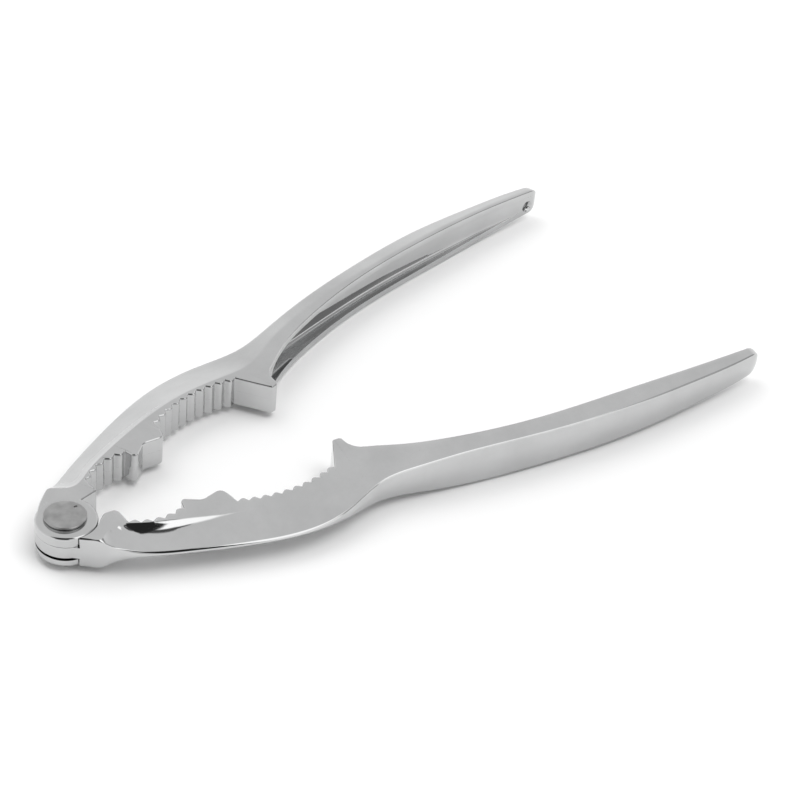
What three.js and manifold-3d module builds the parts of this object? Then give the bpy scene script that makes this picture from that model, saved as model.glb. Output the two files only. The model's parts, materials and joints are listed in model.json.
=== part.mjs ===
// Lever nutcracker: two cast arms, a fork arm and a tongue arm, turning on one rivet.
// Millimetres, +Z up. The origin is on the pivot axis, at the flat underside of the rivet,
// and +X runs along the middle of the tool, from the pivot to between the handle ends.
// Each arm is modelled in its own closed position, lying on the +Y side of the line y = 0
// on which the two spurs meet, with its middle plane at z = 0.

import * as THREE from 'three';
import { LoftGeometry } from 'three/addons/geometries/LoftGeometry.js';
import { mergeVertices } from 'three/addons/utils/BufferGeometryUtils.js';
import Module from 'manifold-3d';

const wasm = await Module();
wasm.setup();

// Driving dimensions.
const jawLength = 60;            // pivot axis to the tip of the spur
const handleLength = 103.5;      // tip of the spur to the end of the handle
const restHalfAngle = 9.9;       // how far each arm stands open from closed, in degrees
const jawThickness = 7.6;        // height of the toothed walls and of the hinge
const handleThickness = 10.2;    // height of the handle across its lips, at mid length
const handleFaceHeight = 9.1;    // height of the handle's outer face, at mid length
const rimThickness = 1;          // height of the jaw's thin outer rim
const faceBulge = 0.4;           // how far an outer face swells between its two edges
const endRadius = 2;             // rounding of the handle's end, seen from the side

// Hinge.
const eyeRadius = 6.4;           // ears of the fork arm and eye of the tongue arm
const tongueThickness = 2.3;
const tongueClearance = 0.25;    // above and below the tongue, inside the fork
const runningClearance = 0.3;    // around everything that turns on the pivot
const shankRadius = 3;
const headRadius = 4.4;
const headHeight = 0.75;
const headBevel = 0.3;
const seatClearance = 0.1;       // under each rivet head

// Teeth. Both rows are arcs that bulge outward, around the nut. An arc's centre is given as a
// share of the jaw and a distance out, and the middle of the row as a direction in degrees.
const toothPitch = 2.3;
const toothDepth = 0.8;
const toothTip = 0.5;            // width of the flat on the tip of a tooth
const smallRow = { teeth: 5, radius: 11.5, share: 0.29, out: -4.4, middle: 93.5 };
const largeRow = { teeth: 10, radius: 29.3, share: 0.72, out: -19.2, middle: 86.5 };

// The blocks between the teeth, as distances from the line on which the arms close.
const spurGap = 0.15;            // half the gap left between the closed spurs
const spurWidth = 1.9;
const spurRound = 0.7;           // rounding of the spur's hind corner
const blockReach = 2;            // first block, beside the hinge
const forkFirstBlock = { notchAngle: 18, chamfer: 0 };
const tongueFirstBlock = { notchAngle: 42, chamfer: 0.7 };
const humpReach = 4.3;           // corner of the hump after the small row
const bumpReach = 4.8;           // rounded bump before the large row

// Handle hollow and hanging hole.
const lipThickness = 1.6;
const webThickness = 1.5;
const hollowStart = 0.05;        // where the hollow begins and ends, along the handle
const hollowEnd = 0.93;
const holeRadius = 1.3;
const holeFromEnd = 3.9;

const loftStep = 2.5;            // distance between two sections of the arms
const roundSegments = 48;

const half = jawThickness / 2;
const armLength = jawLength + handleLength;
const middleHeight = half + seatClearance + headHeight;
const slotHalf = tongueThickness / 2 + tongueClearance;
const farOut = armLength;

const chrome = () => new THREE.MeshStandardMaterial({ color: 0xc9cbcd, roughness: 0.12, metalness: 1 });
const steel = () => new THREE.MeshStandardMaterial({ color: 0xa3a4a6, roughness: 0.38, metalness: 1 });

// Places along an arm, as a share of its jaw or of its handle.
const jaw = (share) => share * jawLength;
const handle = (share) => jawLength + share * handleLength;

// Three rails run along the arm, each with [distance along, distance out, half height].
// They follow the arm's outer edge, the crease beside its flat top, and the inner edge of its
// handle. The jaw's inner edge is cut afterwards, so its blank reaches past the closing line.
const lip = handleThickness / 2;
const face = handleFaceHeight / 2;
const rim = rimThickness / 2;
const railStart = -0.62 * eyeRadius;
const jawEnd = jawLength + 1.2 * spurWidth;
const handleStart = handle(0.06);
const jawBlank = { out: -1, height: half };
const outerRail = rail([
  [railStart, 0.7 * eyeRadius, half],
  [0, 7.2, half],
  [jaw(0.055), 9, half - 0.1],
  [jaw(0.1), 10.4, rim + 1.6],
  [jaw(0.155), 11.8, rim + 0.6],
  [jaw(0.33), 15.3, rim],
  [jaw(0.57), 18.8, rim],
  [jaw(0.77), 19.9, rim + 0.1],
  [jaw(0.92), 18.2, rim + 0.9],
  [handle(0.04), 15.1, face - 1.7],
  [handle(0.12), 15.1, face - 0.85],
  [handle(0.2), 15.8, face - 0.1],
  [handle(0.43), 17.2, face],
  [handle(0.63), 16.8, face - 0.25],
  [handle(0.82), 14.5, face - 0.95],
  [handle(0.95), 12.2, face - 1.45],
  [handle(1), 10.9, face - 1.7],
]);
const creaseRail = rail([
  [railStart, 0.65 * eyeRadius, half],
  [0, 7, half],
  [jaw(0.05), 8.2, half],
  [jaw(0.09), 6.6, half],
  [jaw(0.13), 6.1, half],
  [jaw(0.33), 9.1, half],
  [jaw(0.57), 11.4, half],
  [jaw(0.75), 11.6, half],
  [jaw(0.92), 9.8, half],
  [handle(0.02), 9, half],
  [handle(0.1), 10.8, lip - 0.55],
  [handle(0.2), 12.8, lip - 0.2],
  [handle(0.43), 13.9, lip],
  [handle(0.63), 13.3, lip - 0.05],
  [handle(0.82), 11.9, lip - 0.8],
  [handle(1), 10, face - 1.6],
]);
const innerRail = rail([
  [handleStart, 5.6, lip - 0.8],
  [handle(0.12), 8.1, lip - 0.45],
  [handle(0.2), 10.2, lip - 0.25],
  [handle(0.43), 12.7, lip],
  [handle(0.63), 12.2, lip - 0.05],
  [handle(0.82), 10.9, lip - 0.8],
  [handle(1), 8.8, face - 1.55],
]);

function rail(points) {
  const places = points.map((point) => point[0]);
  const values = points.flatMap((point) => point.slice(1));
  const spline = new THREE.CubicInterpolant(places, values, 2);
  return (along) => {
    const [out, height] = spline.evaluate(along);
    return { out, height };
  };
}

// The end of the handle is rounded by taking its corners off every half height.
function endDrop(along) {
  const past = Math.min(Math.max(along - (armLength - endRadius), 0), endRadius);
  return endRadius - Math.sqrt(endRadius ** 2 - past ** 2);
}

function armSection(along) {
  const outer = outerRail(along);
  const crease = creaseRail(along);
  const inner = along > jawEnd ? innerRail(along) : jawBlank;
  const drop = endDrop(along);
  const corner = (out, height) => new THREE.Vector3(along, out, height);
  return [
    corner(inner.out, drop - inner.height),
    corner(crease.out, drop - crease.height),
    corner(outer.out, drop - outer.height),
    corner(outer.out + faceBulge, 0),
    corner(outer.out, outer.height - drop),
    corner(crease.out, crease.height - drop),
    corner(inner.out, inner.height - drop),
  ];
}

// Evenly spaced places for sections, both ends included.
function placesBetween(start, end, step) {
  const count = Math.ceil((end - start) / step);
  return Array.from({ length: count + 1 }, (_, i) => THREE.MathUtils.lerp(start, end, i / count));
}

// Sections run along the jaw, then along the handle, then close together around its end.
function sectionPlaces() {
  const straightEnd = armLength - endRadius;
  const around = [25, 45, 65].map((angle) => (
    straightEnd + endRadius * Math.sin(THREE.MathUtils.degToRad(angle))
  ));
  return [
    ...placesBetween(railStart, jawEnd, loftStep),
    ...placesBetween(handleStart, straightEnd, loftStep),
    ...around,
  ];
}

function loft(sections) {
  const skin = new LoftGeometry(sections, { capStart: true, capEnd: true });
  return new THREE.BufferGeometry().copy(skin);
}

// One row of teeth, from the hinge side to the handle side: valley, tip, valley, and so on.
function toothRow({ teeth, radius, share, out, middle }) {
  const pitchAngle = toothPitch / radius;
  const tipAngle = toothTip / radius / 2;
  const firstAngle = THREE.MathUtils.degToRad(middle) + (pitchAngle * teeth) / 2;
  const at = (angle, distance) => new THREE.Vector2(
    jaw(share) + distance * Math.cos(angle),
    out + distance * Math.sin(angle),
  );
  const points = [at(firstAngle, radius + toothDepth)];
  for (let i = 0; i < teeth; i += 1) {
    const tip = firstAngle - (i + 0.5) * pitchAngle;
    points.push(at(tip + tipAngle, radius));
    points.push(at(tip - tipAngle, radius));
    points.push(at(tip - pitchAngle / 2, radius + toothDepth));
  }
  return points;
}

// Everything inside the jaw's working edge, from the hinge to behind the spur, seen from above.
// It starts on the eye, at the notch beside the first block. The hump and the bump stand
// between the two rows, at shares of the way from one to the other.
function nutSpace({ notchAngle, chamfer }) {
  const small = toothRow(smallRow);
  const large = toothRow(largeRow);
  const smallEnd = small[small.length - 1];
  const largeStart = large[0];
  const between = (share) => THREE.MathUtils.lerp(smallEnd.x, largeStart.x, share);
  const blockStart = eyeRadius + runningClearance;
  const blockEnd = small[0].x - toothDepth;
  const notch = THREE.MathUtils.degToRad(notchAngle);
  const spurEnd = jawLength + spurWidth;
  const shape = new THREE.Shape();
  shape.moveTo(0, -farOut);
  shape.lineTo(0, 0);
  shape.lineTo(eyeRadius * Math.cos(notch), eyeRadius * Math.sin(notch));
  shape.lineTo(blockStart, blockReach + chamfer);
  shape.lineTo(blockStart + chamfer, blockReach);
  shape.lineTo(blockEnd - chamfer, blockReach);
  shape.lineTo(blockEnd, blockReach + chamfer);
  small.forEach((point) => shape.lineTo(point.x, point.y));
  shape.lineTo(between(0.05), humpReach + 0.5);
  shape.quadraticCurveTo(between(0.07), humpReach - 0.2, between(0.18), humpReach + 0.2);
  shape.lineTo(between(0.36), humpReach + 1.3);
  shape.quadraticCurveTo(between(0.43), humpReach + 1.7, between(0.5), bumpReach + 0.7);
  shape.lineTo(between(0.8), bumpReach);
  shape.quadraticCurveTo(between(0.92), bumpReach - 0.3, between(0.94), bumpReach + 1.7);
  large.forEach((point) => shape.lineTo(point.x, point.y));
  shape.lineTo(jawLength, spurGap);
  shape.lineTo(spurEnd - spurRound, spurGap);
  shape.quadraticCurveTo(spurEnd, spurGap, spurEnd, spurGap + spurRound);
  shape.quadraticCurveTo(
    spurEnd + spurRound, humpReach, handleStart, innerRail(handleStart).out,
  );
  shape.lineTo(handleStart, -farOut);
  shape.closePath();
  return extrude(shape, jawThickness * 2);
}

function extrude(shape, height) {
  const geometry = new THREE.ExtrudeGeometry(shape, {
    depth: height,
    bevelEnabled: false,
    curveSegments: 6,
  });
  geometry.translate(0, 0, -height / 2);
  return geometry;
}

// A round solid on the pivot axis, between two heights.
function disc(radius, low, high) {
  const geometry = new THREE.CylinderGeometry(radius, radius, high - low, roundSegments);
  geometry.rotateX(Math.PI / 2);
  geometry.translate(0, 0, (low + high) / 2);
  return geometry;
}

// The hollow along the inner side of a handle. It is deepest behind the spur, where only the
// outer web is left, and runs out towards the end.
function handleHollow() {
  const start = handle(hollowStart);
  const end = handle(hollowEnd);
  return loft(placesBetween(start, end, loftStep * 2).map((along) => {
    const inner = innerRail(along);
    const share = (along - start) / (end - start);
    const depth = (outerRail(along).out - webThickness - inner.out) * (1 - 0.75 * share);
    const height = inner.height - lipThickness;
    const floor = inner.out + depth;
    const mouth = inner.out - 2 * handleThickness;
    const corner = (out, up) => new THREE.Vector3(along, out, up);
    return [
      corner(mouth, -height),
      corner(floor - depth / 3, -height),
      corner(floor, -height / 2),
      corner(floor, height / 2),
      corner(floor - depth / 3, height),
      corner(mouth, height),
    ];
  }));
}

function hangingHole() {
  const along = armLength - holeFromEnd;
  const length = 4 * handleThickness;
  const geometry = new THREE.CylinderGeometry(holeRadius, holeRadius, length, roundSegments / 2);
  geometry.translate(along, 0, 0);
  return geometry;
}

// Joins and cuts.
function solid(geometry) {
  geometry.deleteAttribute('normal');
  geometry.deleteAttribute('uv');
  const merged = mergeVertices(geometry, 1e-4);
  return new wasm.Manifold(new wasm.Mesh({
    numProp: 3,
    vertProperties: new Float32Array(merged.attributes.position.array),
    triVerts: new Uint32Array(merged.index.array),
  }));
}

function geometryOf(manifold) {
  const mesh = manifold.getMesh();
  const geometry = new THREE.BufferGeometry();
  geometry.setAttribute('position', new THREE.BufferAttribute(mesh.vertProperties, 3));
  geometry.setIndex(new THREE.BufferAttribute(mesh.triVerts, 1));
  geometry.computeVertexNormals();
  return geometry;
}

// What both arms share: blank and eye, with the nut space, hollow and rivet bore cut out.
function plainArm(firstBlock) {
  const blank = solid(loft(sectionPlaces().map(armSection)));
  const eye = solid(disc(eyeRadius, -half, half));
  const bore = solid(disc(shankRadius + runningClearance, -jawThickness, jawThickness));
  return blank
    .subtract(solid(nutSpace(firstBlock)))
    .subtract(solid(handleHollow()))
    .add(eye)
    .subtract(bore);
}

// The fork arm has two ears around a slot, and a hanging hole at the end of its handle.
function forkArm() {
  const slot = solid(disc(eyeRadius + runningClearance, -slotHalf, slotHalf));
  const arm = plainArm(forkFirstBlock).subtract(slot).subtract(solid(hangingHole()));
  return geometryOf(arm);
}

// The tongue arm is cut away above and below its tongue, so that the ears turn beside it.
function tongueArm() {
  const tongueHalf = tongueThickness / 2;
  const clear = eyeRadius + runningClearance;
  const above = solid(disc(clear, tongueHalf, jawThickness));
  const below = solid(disc(clear, -jawThickness, -tongueHalf));
  const arm = plainArm(tongueFirstBlock).subtract(above).subtract(below);
  return geometryOf(arm);
}

// The pivot rivet has the same bevelled head at both ends of its shank.
function rivet() {
  const seat = half + seatClearance;
  const top = seat + headHeight;
  const profile = [
    new THREE.Vector2(0, -top),
    new THREE.Vector2(headRadius - headBevel, -top),
    new THREE.Vector2(headRadius, headBevel - top),
    new THREE.Vector2(headRadius, -seat),
    new THREE.Vector2(shankRadius, -seat),
    new THREE.Vector2(shankRadius, seat),
    new THREE.Vector2(headRadius, seat),
    new THREE.Vector2(headRadius, top - headBevel),
    new THREE.Vector2(headRadius - headBevel, top),
    new THREE.Vector2(0, top),
  ];
  const geometry = new THREE.LatheGeometry(profile, roundSegments);
  geometry.rotateX(Math.PI / 2);
  return geometry;
}

function named(name, geometry, material) {
  const mesh = new THREE.Mesh(geometry, material);
  mesh.name = name;
  return mesh;
}

const nutcracker = new THREE.Group();
nutcracker.position.z = middleHeight;

const forkSide = new THREE.Group();
forkSide.rotation.z = THREE.MathUtils.degToRad(restHalfAngle);
forkSide.add(named('fork_arm', forkArm(), chrome()));
nutcracker.add(forkSide);

// The tongue arm is the fork arm's other hand, turned over about the line y = 0.
const tongueSide = new THREE.Group();
tongueSide.rotation.z = -THREE.MathUtils.degToRad(restHalfAngle);
const tongue = named('tongue_arm', tongueArm(), chrome());
tongue.rotation.x = Math.PI;
tongueSide.add(tongue);
nutcracker.add(tongueSide);

nutcracker.add(named('pivot_rivet', rivet(), steel()));

export default nutcracker;
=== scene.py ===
"""A lever nutcracker: two chrome-plated castings that turn on one rivet.

Sizes inside this script are millimetres, in an arm's own closed position: the pivot axis is at
the origin, +X runs along the arm, +Y is outwards and z = 0 is the arm's middle plane. Each
finished arm is then turned open, lifted to the frame's height and scaled to metres.
"""
import json
import math

import bmesh
import bpy
import numpy as np
from mathutils import Matrix, Vector

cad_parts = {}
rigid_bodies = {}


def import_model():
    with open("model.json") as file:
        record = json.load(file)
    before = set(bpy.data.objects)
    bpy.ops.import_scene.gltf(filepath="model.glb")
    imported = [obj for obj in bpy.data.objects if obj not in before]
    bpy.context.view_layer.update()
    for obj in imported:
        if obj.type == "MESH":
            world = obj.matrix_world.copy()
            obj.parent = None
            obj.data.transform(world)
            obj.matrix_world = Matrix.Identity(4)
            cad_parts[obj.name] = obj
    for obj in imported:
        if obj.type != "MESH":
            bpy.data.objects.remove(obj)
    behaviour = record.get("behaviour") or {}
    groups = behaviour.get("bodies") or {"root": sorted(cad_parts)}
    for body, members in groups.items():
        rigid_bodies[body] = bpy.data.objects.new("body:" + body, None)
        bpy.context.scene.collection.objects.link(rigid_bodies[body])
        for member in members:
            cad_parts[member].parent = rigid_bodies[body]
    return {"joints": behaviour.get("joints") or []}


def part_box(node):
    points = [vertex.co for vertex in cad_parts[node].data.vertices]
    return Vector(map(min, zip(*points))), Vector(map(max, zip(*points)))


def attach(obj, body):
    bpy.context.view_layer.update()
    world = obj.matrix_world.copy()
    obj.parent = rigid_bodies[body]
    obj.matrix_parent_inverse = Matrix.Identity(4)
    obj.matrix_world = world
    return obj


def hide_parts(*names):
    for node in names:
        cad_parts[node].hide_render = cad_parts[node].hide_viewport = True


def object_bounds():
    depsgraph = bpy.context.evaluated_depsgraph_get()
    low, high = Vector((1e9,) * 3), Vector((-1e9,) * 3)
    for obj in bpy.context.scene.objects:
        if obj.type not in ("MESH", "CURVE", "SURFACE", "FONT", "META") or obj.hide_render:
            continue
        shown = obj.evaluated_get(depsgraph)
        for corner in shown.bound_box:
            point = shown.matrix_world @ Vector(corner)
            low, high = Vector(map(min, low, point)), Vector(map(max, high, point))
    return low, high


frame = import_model()
cad_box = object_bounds()

MM = 0.001
HINGE = frame["joints"][0]
PIVOT = Vector(HINGE["pos_m"]) / MM
FORK_BODY = HINGE["parent"]
TONGUE_BODY = HINGE["child"]
OPEN_ANGLE = math.radians(9.9)

# Arm lengths. The eye and the handle's tip keep a hair inside the frame's box.
JAW_LENGTH = 60
HANDLE_LENGTH = 103.5
ARM_LENGTH = JAW_LENGTH + HANDLE_LENGTH
EYE_RADIUS = 6.4
BOX_MARGIN = 0.02
EAR_RADIUS = EYE_RADIUS - BOX_MARGIN
ARM_TIP = ARM_LENGTH - BOX_MARGIN
START = -0.62 * EYE_RADIUS
HANDLE_START = JAW_LENGTH + 0.06 * HANDLE_LENGTH

# Half heights above an arm's middle plane, and how far an outer face swells out.
JAW_HALF = 3.8
LIP_HALF = 5.1
FACE_HALF = 4.55
RIM_HALF = 0.5
FACE_BULGE = 0.35

# Teeth.
TOOTH_PITCH = 2.3
TOOTH_DEPTH = 0.8
TOOTH_TIP = 0.5
TIP_ROUND = 0.22
VALLEY_ROUND = 0.1

# Rounding of the edges, and the shallow dish in the slope beside a jaw's flat top.
JAW_EDGE = 0.42
UNDER_EDGE = 0.5
LIP_EDGE = 0.32
RIM_EDGE = 0.2
FACE_EDGE = 0.4
JAW_CREASE_ROUND = 0.16
HANDLE_CREASE_ROUND = 0.42
END_HEIGHT_ROUND = 2.9
END_WIDTH_ROUND = 1.35
EAR_EDGE = 0.62
SEAM_EDGE = 0.08
DISH = 0.25
DISH_PLACE = 0.38

# Spacing of the cross-sections.
EDGE_STEP = 0.8
HANDLE_STEP = 0.75
LEAST_STEP = 0.03
EVEN_SHARE = 0.35

# Hinge: heights of the slot and the tongue, and the round shoulders beside them.
SLOT_LOW = -2.08
SLOT_HIGH = 1.4
TONGUE_LOW = -1.44
TONGUE_HIGH = 1.38
SHOULDER_RADIUS = 6.62
SHOULDER_FACE = -0.15
BORE_RADIUS = 3.3
CUT_REACH = 6
CUT_WIDTH = 9

# Rivet: pin, and heads that sit a little off the pin's axis and lean.
PIN_RADIUS = 3
HEAD_PLACE = Vector((-0.23, 0.19, 0))
HEAD_LEAN_AXIS = Vector((-0.73, 0.68, 0))
HEAD_LEAN = math.radians(1.6)
HEAD_SINK = 0.12
SEAT_GAP = 0.08
MARK_SIZE = (0.42, 0.28, 0.5)
MARK_PLACE = Vector((3.14, 0.94, -0.1))

# Handle hollow and hanging hole.
LIP_THICKNESS = 1.6
WEB_THICKNESS = 1.5
HOLLOW_START = JAW_LENGTH + 0.05 * HANDLE_LENGTH
HOLLOW_END = JAW_LENGTH + 0.975 * HANDLE_LENGTH
HOLLOW_ROUND = 3
HOLLOW_CORNER = 0.33
HOLE_PLACE = ARM_LENGTH - 3.9
HOLE_UP = -0.95
HOLE_RADIUS = 1.02
HOLE_MOUTH = 0.6

# Finishing a mesh: corners closer than the first are one, and faces that meet at a wider angle
# than the second keep a sharp edge.
MERGE_DISTANCE = 1e-4
SHARP_ANGLE = math.radians(32)

# The room around the object, in degrees: (middle azimuth, half width, lowest and highest
# elevation, softness of the border, brightness).
ROOM = [
    (-38, 21, -30, 46, 9, 0.6),
    (-27, 10, -25, 44, 8, 0.42),
    (-76, 18, -12, 50, 4, 1.3),
    (-68, 26, 46, 69, 3, 1.75),
    (-138, 23, 8, 40, 9, 0.2),
    (-138, 44, 33, 84, 3, 0.03),
    (-88, 8, 69, 74, 2, 0.1),
]
WALL_LIGHT = 1.07
CEILING_LIGHT = 0.85
WALL_TOP = math.radians(8)
CEILING_START = math.radians(42)

# Soft overhead lamps: (azimuth, elevation, strength).
LAMPS = [(100, 60, 0.5), (-60, 72, 0.9)]
LAMP_SPREAD = math.radians(36)

# Camera: a long lens, held up beside the hinge and tipped a little about its own axis.
LENS = 111.02
CAMERA_PLACE = (-0.19979, -0.31002, 0.34082)
CAMERA_AZIMUTH = math.radians(-132.751)
CAMERA_ELEVATION = math.radians(38.964)
CAMERA_TIP = math.radians(5.801)


def jaw(share):
    return share * JAW_LENGTH


def handle(share):
    return JAW_LENGTH + share * HANDLE_LENGTH


def smooth_step(low, high, value):
    t = min(max((value - low) / (high - low), 0), 1)
    return t * t * (3 - 2 * t)


def mix(a, b, share):
    return a + (b - a) * share


def spline(points):
    """A smooth curve through the points: gives the other coordinates at a place along x."""
    x = np.array([p[0] for p in points], float)
    y = np.array([p[1:] for p in points], float)
    step = np.diff(x)
    count = len(x)
    rows = np.eye(count)
    wanted = np.zeros_like(y)
    for i in range(1, count - 1):
        rows[i, i - 1:i + 2] = step[i - 1], 2 * (step[i - 1] + step[i]), step[i]
        wanted[i] = 6 * ((y[i + 1] - y[i]) / step[i] - (y[i] - y[i - 1]) / step[i - 1])
    bend = np.linalg.solve(rows, wanted)

    def at(place):
        i = int(np.clip(np.searchsorted(x, place) - 1, 0, count - 2))
        h, a, b = step[i], x[i + 1] - place, place - x[i]
        value = (bend[i] * a ** 3 + bend[i + 1] * b ** 3) / (6 * h)
        value += (y[i] / h - bend[i] * h / 6) * a + (y[i + 1] / h - bend[i + 1] * h / 6) * b
        return [float(v) for v in value]

    return at


# Rails along an arm. The first three give [out, half height]: the outer edge, the crease beside
# the flat top, and the handle's inner edge. The last gives the inner side's half height alone.
outer_rail = spline([
    (START, 4.6, JAW_HALF - 0.25),
    (jaw(-0.016), 6.95, JAW_HALF - 0.25),
    (jaw(0.032), 8.62, JAW_HALF - 0.25),
    (jaw(0.057), 9.28, JAW_HALF - 0.4),
    (jaw(0.077), 9.8, JAW_HALF - 1.1),
    (jaw(0.1), 10.35, RIM_HALF + 1.4),
    (jaw(0.127), 11, RIM_HALF + 0.9),
    (jaw(0.155), 11.75, RIM_HALF + 0.55),
    (jaw(0.33), 15.3, RIM_HALF),
    (jaw(0.57), 18.8, RIM_HALF),
    (jaw(0.77), 19.9, RIM_HALF + 0.1),
    (jaw(0.92), 18.2, RIM_HALF + 0.9),
    (handle(0.04), 15.1, FACE_HALF - 1.7),
    (handle(0.12), 15.1, FACE_HALF - 0.85),
    (handle(0.2), 15.8, FACE_HALF - 0.1),
    (handle(0.43), 17.2, FACE_HALF),
    (handle(0.63), 16.8, FACE_HALF - 0.25),
    (handle(0.82), 14.5, FACE_HALF - 0.95),
    (handle(0.95), 12.2, FACE_HALF - 1.45),
    (handle(1), 10.9, FACE_HALF - 1.7),
])
crease_rail = spline([
    (START, 4.3, JAW_HALF),
    (jaw(-0.016), 6.65, JAW_HALF),
    (jaw(0.032), 8.35, JAW_HALF),
    (jaw(0.057), 8.9, JAW_HALF),
    (jaw(0.077), 7.9, JAW_HALF),
    (jaw(0.1), 6.6, JAW_HALF),
    (jaw(0.137), 5.85, JAW_HALF),
    (jaw(0.2), 6.95, JAW_HALF),
    (jaw(0.33), 9.1, JAW_HALF),
    (jaw(0.57), 11.4, JAW_HALF),
    (jaw(0.75), 11.6, JAW_HALF),
    (jaw(0.92), 9.8, JAW_HALF),
    (handle(0.02), 9, JAW_HALF),
    (handle(0.1), 10.8, LIP_HALF - 0.55),
    (handle(0.2), 12.8, LIP_HALF - 0.2),
    (handle(0.43), 13.9, LIP_HALF),
    (handle(0.63), 13.3, LIP_HALF - 0.05),
    (handle(0.82), 11.9, LIP_HALF - 0.8),
    (handle(1), 10, FACE_HALF - 1.6),
])
inner_rail = spline([
    (HANDLE_START, 5.6, LIP_HALF - 0.8),
    (handle(0.12), 8.1, LIP_HALF - 0.45),
    (handle(0.2), 10.2, LIP_HALF - 0.25),
    (handle(0.43), 12.7, LIP_HALF),
    (handle(0.63), 12.2, LIP_HALF - 0.05),
    (handle(0.82), 10.9, LIP_HALF - 0.8),
    (handle(1), 8.8, FACE_HALF - 1.55),
])
inner_height = spline([
    (START, JAW_HALF),
    (jaw(0.6), JAW_HALF),
    (jaw(0.9), JAW_HALF),
    (jaw(1), JAW_HALF),
    (HANDLE_START, LIP_HALF - 0.8),
    (handle(0.12), LIP_HALF - 0.45),
    (handle(0.2), LIP_HALF - 0.25),
    (handle(0.43), LIP_HALF),
    (handle(0.63), LIP_HALF - 0.05),
    (handle(0.82), LIP_HALF - 0.8),
    (handle(1), FACE_HALF - 1.55),
])


# The working edge of a jaw, seen from above. A corner is (x, y, rounding).
def tooth_row(teeth, radius, share, out, middle):
    """Corners of one row on an arc: valley, two tip corners, valley, and so on."""
    pitch_angle = TOOTH_PITCH / radius
    half_tip = TOOTH_TIP / radius / 2
    first = math.radians(middle) + pitch_angle * teeth / 2

    def at(angle, distance):
        return jaw(share) + distance * math.cos(angle), out + distance * math.sin(angle)

    valley = radius + TOOTH_DEPTH
    corners = [(*at(first, valley), VALLEY_ROUND)]
    for i in range(teeth):
        tip = first - (i + 0.5) * pitch_angle
        corners.append((*at(tip + half_tip, radius), TIP_ROUND))
        corners.append((*at(tip - half_tip, radius), TIP_ROUND))
        corners.append((*at(tip - pitch_angle / 2, valley), VALLEY_ROUND))
    return corners


def working_edge(notch_angle, chamfer):
    """Corners from inside the eye to the start of the handle."""
    small = tooth_row(teeth=5, radius=11.5, share=0.29, out=-4.4, middle=93.5)
    large = tooth_row(teeth=10, radius=29.3, share=0.72, out=-19.2, middle=86.5)
    block_start = 6.7
    block_end = small[0][0] - 0.8 + 0.4 * chamfer
    block_top = 2 - 0.6 * chamfer
    notch = math.radians(notch_angle)

    def between(share):
        return mix(small[-1][0], large[0][0], share)

    return [
        (START, 0, 0),
        (0, 0, 0),
        (EYE_RADIUS * math.cos(notch), EYE_RADIUS * math.sin(notch), 0.1),
        (block_start, block_top + chamfer, 0.3),
        (block_start + chamfer + 0.05, block_top, 0.3),
        (block_end - chamfer, block_top, 0.3),
        (block_end, block_top + 0.05 + chamfer, 0.3),
        *small,
        (between(0.025), 4.75, 0.35),
        (between(0.085), 4.05, 0.45),
        (between(0.42), 5.9, 0.7),
        (between(0.86), 4.45, 1.25),
        (between(0.94), 6.5, 0.5),
        *large,
        (JAW_LENGTH, 0.15, 0.25),
        (JAW_LENGTH + 1.9, 0.15, 0.75),
        (JAW_LENGTH + 2.6, 4.1, 2.2),
        (HANDLE_START, 5.6, 0),
    ]


def rounded(corners):
    """The corners as a chain of points, with every rounded corner turned into a small arc."""
    bm = bmesh.new()
    verts = [bm.verts.new((x, y, 0)) for x, y, _ in corners]
    for a, b in zip(verts, verts[1:]):
        bm.edges.new((a, b))
    start = verts[0]
    by_radius = {}
    for vert, corner in zip(verts, corners):
        by_radius.setdefault(corner[2], []).append(vert)
    for radius, group in by_radius.items():
        if radius:
            bmesh.ops.bevel(
                bm, geom=group, offset=radius, offset_type="OFFSET", affect="VERTICES",
                segments=4 if radius < 0.5 else 8, profile=0.5, material=-1, clamp_overlap=True,
            )
    chain, last = [start], None
    while True:
        following = [e for e in chain[-1].link_edges if e is not last]
        if not following:
            break
        last = following[0]
        chain.append(last.other_vert(chain[-1]))
    points = [v.co.copy() for v in chain]
    bm.free()
    return points


def spread(points, longest):
    """The same chain, with long steps divided."""
    result = [points[0]]
    for a, b in zip(points, points[1:]):
        parts = max(1, math.ceil((b - a).length / longest))
        result += [a.lerp(b, (i + 1) / parts) for i in range(parts)]
    return result


def inward(points):
    """Directions from the edge into the metal, square to the chain."""
    result = []
    for i, point in enumerate(points):
        before = points[max(i - 1, 0)]
        after = points[min(i + 1, len(points) - 1)]
        along = (after - before).normalized()
        result.append(Vector((-along.y, along.x, 0)))
    return result


# Cross-sections of an arm.
def bend(a, corner, b, count):
    """Points on a smooth turn from a to b around a corner."""
    result = []
    for i in range(count):
        t = i / (count - 1)
        result.append(a.lerp(corner, t).lerp(corner.lerp(b, t), t))
    return result


def hollow_at(along, inner, outer):
    """(depth, half height) of the hollow in the handle's inner side."""
    if along <= HOLLOW_START or along >= HOLLOW_END:
        open_share = 0
    else:
        share = min((along - HOLLOW_START) / HOLLOW_ROUND, 1)
        open_share = math.sqrt(1 - (1 - share) ** 2)
    share = min(max((along - HOLLOW_START) / (HOLLOW_END - HOLLOW_START), 0), 1)
    fade = (1 - 0.66 * share) * (1 - smooth_step(0.8, 1, share))
    depth = (outer[0] - WEB_THICKNESS - inner[0]) * fade * open_share
    height = inner[1] - LIP_THICKNESS
    return max(depth, 0), height * max(open_share, 0.12 if along < handle(0.5) else 1)


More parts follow.
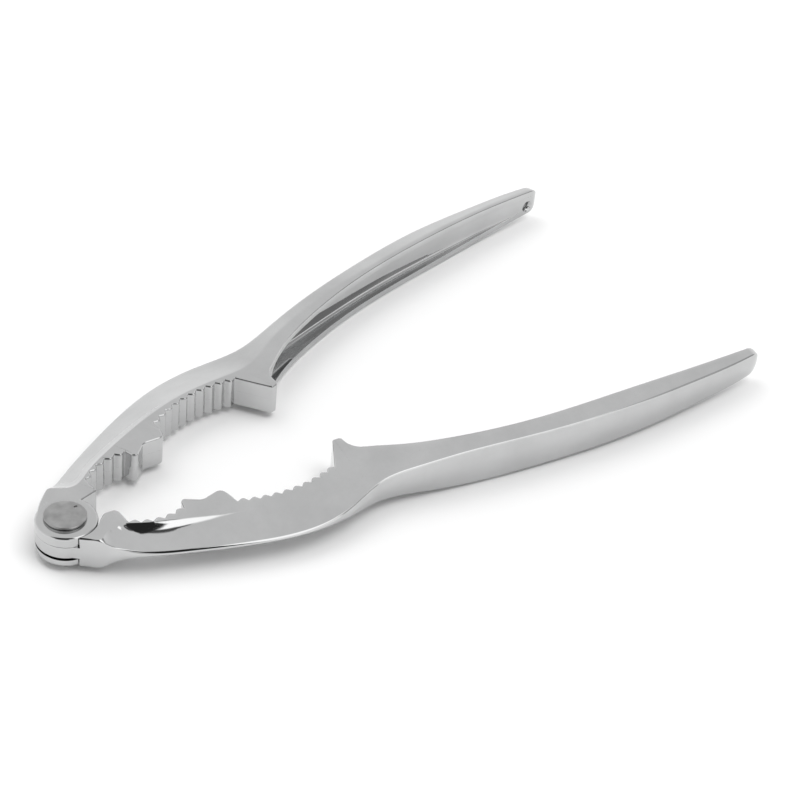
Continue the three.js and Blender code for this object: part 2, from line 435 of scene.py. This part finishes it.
def half_section(point, into, along, wall_edge, slim=0):
    """Upper half of a cross-section, from the middle of the inner side to that of the outer."""
    outer, crease = outer_rail(along), crease_rail(along)
    waist = slim * (1 - smooth_step(0.5, jaw(0.08), along))
    outer[0] -= waist
    crease[0] -= waist
    height = inner_height(along)[0]
    edge = mix(wall_edge, LIP_EDGE, smooth_step(jaw(1.03), handle(0.12), along))
    depth, opening = hollow_at(along, (point.y, height), outer)

    def inside(distance, up):
        spot = point + into * distance
        return Vector((spot.x, spot.y, up))

    profile = []
    for angle in (0, 4, 12, 24, 35, 45, 55, 66, 78, 86):
        t = math.radians(angle)
        deep = depth * math.cos(t) ** HOLLOW_CORNER
        profile.append(inside(deep, opening * math.sin(t) ** HOLLOW_CORNER))
    lip = min(0.16, depth * 0.5 + 0.02)
    profile += [inside(lip, opening), inside(lip * 0.25, opening + lip * 0.3)]
    profile.append(inside(0, opening + 0.2))
    for angle in (0, 22.5, 45, 67.5, 90):
        t = math.radians(angle)
        profile.append(inside(edge * (1 - math.cos(t)), height - edge * (1 - math.sin(t))))

    top = Vector((along, crease[0], crease[1]))
    low = Vector((along, outer[0], outer[1]))
    slope = low - top
    length = slope.length
    slope.normalize()
    flat = profile[-1] - top
    rim = smooth_step(jaw(0.75), handle(0.1), along)
    reach = min(mix(JAW_CREASE_ROUND, HANDLE_CREASE_ROUND, rim), 0.3 * length)
    flat_reach = min(reach, 0.45 * flat.length)
    profile += bend(top + flat.normalized() * flat_reach, top, top + slope * reach, 5)

    drop = min(mix(RIM_EDGE, FACE_EDGE, rim), 0.4 * outer[1], 0.4 * length)
    first, last = top + slope * reach, low - slope * drop
    dish = DISH * smooth_step(jaw(0.07), jaw(0.2), along)
    dish *= mix(1, 0.3, smooth_step(jaw(0.35), jaw(0.75), along))
    dish *= 1 - smooth_step(jaw(0.8), jaw(1.05), along)
    across = Vector((0, slope.z, -slope.y))
    steps = 9
    for i in range(1, steps):
        t = i / steps
        away = (DISH_PLACE - t) / (DISH_PLACE if t < DISH_PLACE else 1 - DISH_PLACE)
        profile.append(first.lerp(last, t) + across * (dish * (1 - away ** 2)))

    def flank(up):
        return Vector((along, outer[0] + FACE_BULGE * (1 - (up / outer[1]) ** 2), up))

    side = flank(outer[1] - drop)
    profile += bend(last, low, side, 5)
    for share in (0.66, 0.33, 0):
        profile.append(flank((outer[1] - drop) * share))
    return profile


def full_section(upper, lower):
    """The whole closed section: the upper half, then the lower half turned over."""
    return upper + [Vector((p.x, p.y, -p.z)) for p in reversed(lower[1:-1])]


def arm_sections(notch_angle, chamfer, wall_edges, slim):
    """Every section of an arm, from inside its eye to the rounded end of its handle."""
    points = spread(rounded(working_edge(notch_angle, chamfer)), EDGE_STEP)
    into = inward(points)
    lengths = [0]
    for a, b in zip(points, points[1:]):
        lengths.append(lengths[-1] + (b - a).length)
    sections = []
    along = START - LEAST_STEP
    for point, direction, length in zip(points, into, lengths):
        even = mix(START, HANDLE_START, length / lengths[-1])
        along = max(mix(point.x, even, EVEN_SHARE), along + LEAST_STEP)
        halves = [half_section(point, direction, along, edge, slim) for edge in wall_edges]
        sections.append(full_section(*halves))

    straight_end = ARM_TIP - END_HEIGHT_ROUND
    count = math.ceil((straight_end - HANDLE_START) / HANDLE_STEP)
    places = [mix(HANDLE_START, straight_end, (i + 1) / count) for i in range(count)]
    places += [HOLLOW_START + d for d in (0.05, 0.15, 0.4, 0.7)]
    angles = [8 * (i + 1) for i in range(10)] + [85]
    turns = [(straight_end + END_HEIGHT_ROUND * math.sin(math.radians(a)), a) for a in angles]
    for along, angle in [(p, 0) for p in sorted(places) if p > HANDLE_START + 0.01] + turns:
        inner = inner_rail(along)
        nearby = inner_rail(along + 0.1)
        run = Vector((0.1, nearby[0] - inner[0], 0)).normalized()
        into_metal = Vector((-run.y, run.x, 0))
        half = half_section(Vector((along, inner[0], 0)), into_metal, along, LIP_EDGE)
        half = close_in(half, math.radians(angle))
        sections.append(full_section(half, half))
    return sections


def close_in(half, angle):
    """Draws a section together as the handle's end turns through an angle."""
    if not angle:
        return half
    turn = 1 - math.cos(angle)
    inner, outer = half[0].y, half[-1].y
    top = max(p.z for p in half)
    middle = (inner + outer) / 2
    narrow = 1 - END_WIDTH_ROUND * turn * 2 / (outer - inner)
    lower = 1 - END_HEIGHT_ROUND * turn / top
    return [Vector((p.x, middle + (p.y - middle) * narrow, p.z * lower)) for p in half]


def skin(sections):
    """Bridges the sections, one to the next, and closes both ends."""
    bm = bmesh.new()
    previous = None
    for number, section in enumerate(sections):
        verts = [bm.verts.new(p) for p in section]
        edges = [bm.edges.new((a, b)) for a, b in zip(verts, verts[1:] + verts[:1])]
        if previous:
            bmesh.ops.bridge_loops(bm, edges=previous + edges)
        if number in (0, len(sections) - 1):
            bm.faces.new(verts)
        previous = edges
    bmesh.ops.recalc_face_normals(bm, faces=bm.faces)
    return bm


# Small tools for solids.
def new_object(name, bm):
    mesh = bpy.data.meshes.new(name)
    bm.to_mesh(mesh)
    bm.free()
    obj = bpy.data.objects.new(name, mesh)
    bpy.context.scene.collection.objects.link(obj)
    return obj


def turned(name, profile, steps=96):
    """A solid turned about the pivot axis from (radius, height) corners."""
    bm = bmesh.new()
    verts = [bm.verts.new((radius, 0, up)) for radius, up in profile]
    edges = [bm.edges.new((a, b)) for a, b in zip(verts, verts[1:])]
    bmesh.ops.spin(
        bm, geom=verts + edges, cent=(0, 0, 0), axis=(0, 0, 1), angle=math.tau, steps=steps,
        use_merge=True,
    )
    bmesh.ops.remove_doubles(bm, verts=bm.verts, dist=1e-5)
    bmesh.ops.recalc_face_normals(bm, faces=bm.faces)
    return new_object(name, bm)


def plate(name, radius, low, high, low_edge, high_edge):
    """A round plate about the pivot axis with both its edges rounded."""
    corners = [(0, low)]
    for angle in (0, 30, 60, 90):
        t = math.radians(angle)
        corners.append((radius - low_edge * (1 - math.sin(t)), low + low_edge * (1 - math.cos(t))))
    for angle in (90, 60, 30, 0):
        t = math.radians(angle)
        inset = 1 - math.sin(t)
        corners.append((radius - high_edge * inset, high - high_edge * (1 - math.cos(t))))
    return turned(name, corners + [(0, high)])


def combine(obj, tool, operation):
    """Joins a tool to the object or cuts it away, and removes the tool."""
    modifier = obj.modifiers.new(operation, "BOOLEAN")
    modifier.operation = operation
    modifier.object = tool
    modifier.solver = "EXACT"
    bpy.context.view_layer.update()
    graph = bpy.context.evaluated_depsgraph_get()
    mesh = bpy.data.meshes.new_from_object(obj.evaluated_get(graph))
    obj.modifiers.clear()
    old = obj.data
    obj.data = mesh
    bpy.data.meshes.remove(old)
    bpy.data.objects.remove(tool)


def bore_tool():
    """The hole for the rivet's pin."""
    return plate("bore_tool", BORE_RADIUS, -CUT_REACH, CUT_REACH, 0, 0)


def hole_tool():
    """The hanging hole, with a dished mouth on each face of the handle."""
    inner, outer = inner_rail(HOLE_PLACE)[0], outer_rail(HOLE_PLACE)[0] + FACE_BULGE
    mouth, past = HOLE_MOUTH, 1.5
    profile = [
        (0, inner - past),
        (HOLE_RADIUS + mouth + past, inner - past),
        (HOLE_RADIUS + mouth * 0.45, inner + mouth * 0.3),
        (HOLE_RADIUS + mouth * 0.12, inner + mouth * 0.7),
        (HOLE_RADIUS, inner + mouth * 1.2),
        (HOLE_RADIUS, outer - mouth * 1.2),
        (HOLE_RADIUS + mouth * 0.12, outer - mouth * 0.7),
        (HOLE_RADIUS + mouth * 0.45, outer - mouth * 0.3),
        (HOLE_RADIUS + mouth + past, outer + past),
        (0, outer + past),
    ]
    tool = turned("hole_tool", profile, 48)
    tool.data.transform(Matrix.Rotation(-math.pi / 2, 4, "X"))
    tool.data.transform(Matrix.Translation((HOLE_PLACE, 0, HOLE_UP)))
    return tool


def is_plain(face):
    """True for the flat tops and for the upright walls on the working side of a jaw."""
    up, out, along = face.normal.z, face.normal.y, face.calc_center_median().x
    return abs(up) > 0.9998 or (abs(up) < 0.01 and out < 0.35 and along < HANDLE_START - 2)


def finish_mesh(obj, place):
    """Closes a piece's mesh, puts it in the frame and shades it smooth up to its sharp edges.

    Corners of plain faces are named in a vertex group, so that only these are shaded flat.
    """
    bm = bmesh.new()
    bm.from_mesh(obj.data)
    bmesh.ops.remove_doubles(bm, verts=bm.verts, dist=MERGE_DISTANCE)
    bmesh.ops.dissolve_degenerate(bm, edges=bm.edges, dist=MERGE_DISTANCE)
    rims = [e for e in bm.edges if e.is_boundary]
    for face in bmesh.ops.holes_fill(bm, edges=rims, sides=0)["faces"]:
        loop = face.loops[0]
        if loop.link_loop_radial_next.vert is loop.vert:
            face.normal_flip()
    bm.verts.index_update()
    bm.normal_update()
    plain_verts = {v.index for face in bm.faces if is_plain(face) for v in face.verts}
    bm.transform(place)
    for face in bm.faces:
        face.smooth = True
    for edge in bm.edges:
        edge.smooth = edge.calc_face_angle(0) < SHARP_ANGLE
    bm.to_mesh(obj.data)
    bm.free()
    plain = obj.vertex_groups.new(name="plain_faces")
    plain.add(sorted(plain_verts), 1, "REPLACE")
    even = obj.modifiers.new("even_shading", "WEIGHTED_NORMAL")
    even.keep_sharp = True
    even.vertex_group = plain.name


def in_frame(turn, flip=False):
    """From an arm's closed position to its place in the frame, in metres."""
    matrix = Matrix.Translation(Vector((0, 0, PIVOT.z))) @ Matrix.Rotation(turn, 4, "Z")
    if flip:
        matrix = matrix @ Matrix.Rotation(math.pi, 4, "X")
    return Matrix.Scale(MM, 4) @ matrix


def block(name, low, high):
    """A plain box from its lowest to its highest corner."""
    bm = bmesh.new()
    bmesh.ops.create_cube(bm, size=1)
    size = [b - a for a, b in zip(low, high)]
    middle = [(a + b) / 2 for a, b in zip(low, high)]
    bmesh.ops.scale(bm, vec=size, verts=bm.verts)
    bmesh.ops.translate(bm, vec=middle, verts=bm.verts)
    return new_object(name, bm)


def punch_mark(top):
    """The small dent left by a punch in a head whose flat face is at the given height."""
    bm = bmesh.new()
    bmesh.ops.create_icosphere(bm, subdivisions=3, radius=1)
    bmesh.ops.scale(bm, vec=MARK_SIZE, verts=bm.verts)
    place = HEAD_PLACE + MARK_PLACE + Vector((0, 0, top))
    bmesh.ops.translate(bm, vec=place, verts=bm.verts)
    return new_object("punch_mark", bm)


# The pieces.
def fork_arm():
    """The arm with two ears around a slot, and the hanging hole."""
    sections = arm_sections(
        notch_angle=18, chamfer=0, wall_edges=(JAW_EDGE, UNDER_EDGE), slim=0)
    arm = new_object("fork_arm_casting", skin(sections))
    slot = plate("slot_tool", SHOULDER_RADIUS, SLOT_LOW, SLOT_HIGH, 0, 0)
    combine(arm, slot, "DIFFERENCE")
    for low, high, low_edge, high_edge in (
        (SLOT_HIGH, JAW_HALF, SEAM_EDGE, EAR_EDGE),
        (-JAW_HALF, SLOT_LOW, EAR_EDGE, SEAM_EDGE),
    ):
        combine(arm, plate("ear", EAR_RADIUS, low, high, low_edge, high_edge), "UNION")
    combine(arm, bore_tool(), "DIFFERENCE")
    combine(arm, hole_tool(), "DIFFERENCE")
    finish_mesh(arm, in_frame(OPEN_ANGLE))
    return arm


def tongue_arm():
    """The arm with one tongue between two shoulders, a slimmer eye and a chamfered block."""
    sections = arm_sections(
        notch_angle=42, chamfer=0.7, wall_edges=(UNDER_EDGE, JAW_EDGE), slim=0.75)
    arm = new_object("tongue_arm_casting", skin(sections))
    # The arm lies turned over, so its upper side here is its lower side in the frame.
    for low, high in ((-TONGUE_LOW, CUT_REACH), (-CUT_REACH, -TONGUE_HIGH)):
        combine(arm, plate("shoulder_tool", SHOULDER_RADIUS, low, high, 0, 0), "DIFFERENCE")
        face = block("shoulder_face", (-CUT_WIDTH, 0, low), (SHOULDER_FACE, CUT_WIDTH, high))
        combine(arm, face, "DIFFERENCE")
    tongue = plate("tongue", EAR_RADIUS, -TONGUE_HIGH, -TONGUE_LOW, SEAM_EDGE, SEAM_EDGE)
    combine(arm, tongue, "UNION")
    combine(arm, bore_tool(), "DIFFERENCE")
    finish_mesh(arm, in_frame(-OPEN_ANGLE, flip=True))
    return arm


def pivot_rivet():
    """The pin with a bevelled head at each end, and one punch mark in the upper head."""
    low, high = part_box("pivot_rivet")
    top = (high.z - low.z) / MM / 2
    radius = (high.x - low.x) / MM / 2
    seat = JAW_HALF + SEAT_GAP
    pin = seat + 0.2
    corners = [(0, -pin), (PIN_RADIUS, -pin), (PIN_RADIUS, pin), (0, pin)]
    rivet = turned("pivot_rivet_steel", corners)
    profile = [(0, 3), (radius - 0.4, 3), (radius - 0.22, seat), (radius - 0.02, top - 0.3)]
    for angle in (0, 15, 35, 55, 75, 90):
        t = math.radians(angle)
        profile.append((radius - 0.34 * (1 - math.cos(t)), top - 0.24 * (1 - math.sin(t))))
    profile += [(radius * share, top) for share in (0.75, 0.5, 0.25)] + [(0, top)]
    sunk = HEAD_PLACE - Vector((0, 0, HEAD_SINK))
    lean = Matrix.Translation(sunk) @ Matrix.Rotation(HEAD_LEAN, 4, HEAD_LEAN_AXIS)
    for upper in (True, False):
        head = turned("rivet_head", profile)
        head.data.transform(lean)
        below = block("head_seat", (-CUT_WIDTH, -CUT_WIDTH, 0), (CUT_WIDTH, CUT_WIDTH, seat))
        combine(head, below, "DIFFERENCE")
        if upper:
            combine(head, punch_mark(top), "DIFFERENCE")
        else:
            head.data.transform(Matrix.Rotation(math.pi, 4, "X"))
        combine(rivet, head, "UNION")
    finish_mesh(rivet, in_frame(0))
    return rivet


# Finishes.
def nodes_of(name):
    material = bpy.data.materials.new(name)
    material.use_nodes = True
    tree = material.node_tree
    return material, tree.nodes, tree.links, tree.nodes["Principled BSDF"]


def chrome_finish():
    """Bright plate over a casting: faint clouding, and a slow waviness under the shine."""
    material, nodes, links, shader = nodes_of("chrome_plate")
    shader.inputs["Metallic"].default_value = 1
    place = nodes.new("ShaderNodeTexCoord")

    clouds = nodes.new("ShaderNodeTexNoise")
    clouds.inputs["Scale"].default_value = 90
    clouds.inputs["Detail"].default_value = 6
    clouds.inputs["Roughness"].default_value = 0.6
    links.new(place.outputs["Object"], clouds.inputs["Vector"])
    tone = nodes.new("ShaderNodeValToRGB")
    tone.color_ramp.elements[0].position = 0.35
    tone.color_ramp.elements[0].color = (0.52, 0.523, 0.525, 1)
    tone.color_ramp.elements[1].position = 0.7
    tone.color_ramp.elements[1].color = (0.575, 0.578, 0.58, 1)
    links.new(clouds.outputs["Fac"], tone.inputs["Fac"])
    links.new(tone.outputs["Color"], shader.inputs["Base Color"])

    haze = nodes.new("ShaderNodeMapRange")
    haze.inputs["From Min"].default_value = 0.35
    haze.inputs["From Max"].default_value = 0.75
    haze.inputs["To Min"].default_value = 0.02
    haze.inputs["To Max"].default_value = 0.07
    links.new(clouds.outputs["Fac"], haze.inputs["Value"])
    links.new(haze.outputs["Result"], shader.inputs["Roughness"])

    waves = nodes.new("ShaderNodeTexNoise")
    waves.inputs["Scale"].default_value = 140
    waves.inputs["Detail"].default_value = 2
    links.new(place.outputs["Object"], waves.inputs["Vector"])
    relief = nodes.new("ShaderNodeBump")
    relief.inputs["Strength"].default_value = 0.12
    relief.inputs["Distance"].default_value = 0.0002
    links.new(waves.outputs["Fac"], relief.inputs["Height"])
    links.new(relief.outputs["Normal"], shader.inputs["Normal"])
    return material


def rivet_finish():
    """Duller steel with cloudy handling marks."""
    material, nodes, links, shader = nodes_of("rivet_steel")
    shader.inputs["Metallic"].default_value = 1
    place = nodes.new("ShaderNodeTexCoord")
    clouds = nodes.new("ShaderNodeTexNoise")
    clouds.inputs["Scale"].default_value = 420
    clouds.inputs["Detail"].default_value = 5
    links.new(place.outputs["Object"], clouds.inputs["Vector"])
    tone = nodes.new("ShaderNodeValToRGB")
    tone.color_ramp.elements[0].position = 0.3
    tone.color_ramp.elements[0].color = (0.3, 0.3, 0.3, 1)
    tone.color_ramp.elements[1].position = 0.75
    tone.color_ramp.elements[1].color = (0.46, 0.46, 0.46, 1)
    links.new(clouds.outputs["Fac"], tone.inputs["Fac"])
    links.new(tone.outputs["Color"], shader.inputs["Base Color"])
    shader.inputs["Roughness"].default_value = 0.3
    return material


def place_piece(obj, body, node, material):
    obj.data.materials.clear()
    obj.data.materials.append(material)
    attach(obj, body)
    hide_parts(node)


chrome = chrome_finish()
place_piece(fork_arm(), FORK_BODY, "fork_arm", chrome)
place_piece(tongue_arm(), TONGUE_BODY, "tongue_arm", chrome)
place_piece(pivot_rivet(), FORK_BODY, "pivot_rivet", rivet_finish())


# Studio.
def studio_floor():
    """A wide sheet of pale paper just under the object."""
    bm = bmesh.new()
    bmesh.ops.create_grid(bm, x_segments=1, y_segments=1, size=20)
    floor = new_object("studio_floor", bm)
    floor.data.transform(Matrix.Translation((0, 0, cad_box[0][2] - 0.0001)))
    material, _, _, shader = nodes_of("studio_paper")
    shader.inputs["Base Color"].default_value = (0.93, 0.93, 0.93, 1)
    shader.inputs["Roughness"].default_value = 0.9
    shader.inputs["Specular IOR Level"].default_value = 0.1
    floor.data.materials.append(material)


def math_node(nodes, links, operation, first, second=None):
    node = nodes.new("ShaderNodeMath")
    node.operation = operation
    for socket, value in zip(node.inputs, (first, second)):
        if isinstance(value, (int, float)):
            socket.default_value = value
        elif value:
            links.new(value, socket)
    return node.outputs[0]


def fade_node(nodes, links, value, near, far, near_result, far_result):
    node = nodes.new("ShaderNodeMapRange")
    node.interpolation_type = "SMOOTHSTEP"
    links.new(value, node.inputs["Value"])
    node.inputs["From Min"].default_value = near
    node.inputs["From Max"].default_value = far
    node.inputs["To Min"].default_value = near_result
    node.inputs["To Max"].default_value = far_result
    return node.outputs["Result"]


def studio_light():
    """A pale room with its bright, grey and dark zones, and the lamps overhead."""
    world = bpy.data.worlds.new("studio")
    bpy.context.scene.world = world
    world.use_nodes = True
    nodes, links = world.node_tree.nodes, world.node_tree.links
    background = nodes["Background"]
    direction = nodes.new("ShaderNodeTexCoord").outputs["Generated"]
    parts = nodes.new("ShaderNodeSeparateXYZ")
    links.new(direction, parts.inputs[0])
    height = math_node(nodes, links, "ARCSINE", parts.outputs["Z"])
    light = fade_node(
        nodes, links, height, WALL_TOP, CEILING_START, WALL_LIGHT, CEILING_LIGHT)
    for middle, half_width, low, high, soft, brightness in ROOM:
        turn = nodes.new("ShaderNodeMapping")
        turn.inputs["Rotation"].default_value[2] = math.radians(-middle)
        links.new(direction, turn.inputs["Vector"])
        turned_parts = nodes.new("ShaderNodeSeparateXYZ")
        links.new(turn.outputs[0], turned_parts.inputs[0])
        azimuth = math_node(
            nodes, links, "ARCTAN2", turned_parts.outputs["Y"], turned_parts.outputs["X"])
        sideways = math_node(nodes, links, "ABSOLUTE", azimuth)
        offset = math_node(nodes, links, "SUBTRACT", height, math.radians((low + high) / 2))
        upright = math_node(nodes, links, "ABSOLUTE", offset)
        shares = []
        for value, half in ((sideways, half_width), (upright, (high - low) / 2)):
            near, far = math.radians(half - soft / 2), math.radians(half + soft / 2)
            shares.append(fade_node(nodes, links, value, near, far, 1, 0))
        share = math_node(nodes, links, "MULTIPLY", *shares)
        blend = nodes.new("ShaderNodeMix")
        links.new(share, blend.inputs["Factor"])
        links.new(light, blend.inputs["A"])
        blend.inputs["B"].default_value = brightness
        light = blend.outputs["Result"]
    links.new(light, background.inputs["Color"])
    background.inputs["Strength"].default_value = 1

    for number, (azimuth, elevation, strength) in enumerate(LAMPS):
        data = bpy.data.lights.new("ceiling_lamp", "SUN")
        data.energy = strength
        data.angle = LAMP_SPREAD
        lamp = bpy.data.objects.new(f"ceiling_lamp_{number}", data)
        lamp.rotation_euler = (math.radians(90 - elevation), 0, math.radians(azimuth + 90))
        lamp.visible_glossy = False
        bpy.context.scene.collection.objects.link(lamp)


def camera():
    data = bpy.data.cameras.new("camera")
    data.lens = LENS
    data.sensor_width = 36
    data.clip_start = 0.01
    obj = bpy.data.objects.new("camera", data)
    bpy.context.scene.collection.objects.link(obj)
    aim = Matrix.Rotation(CAMERA_AZIMUTH + math.pi / 2, 4, "Z")
    aim = aim @ Matrix.Rotation(math.pi / 2 - CAMERA_ELEVATION, 4, "X")
    obj.matrix_world = Matrix.Translation(CAMERA_PLACE) @ aim @ Matrix.Rotation(CAMERA_TIP, 4, "Z")
    bpy.context.scene.camera = obj


studio_floor()
studio_light()
camera()
bpy.context.scene.view_settings.view_transform = "Standard"
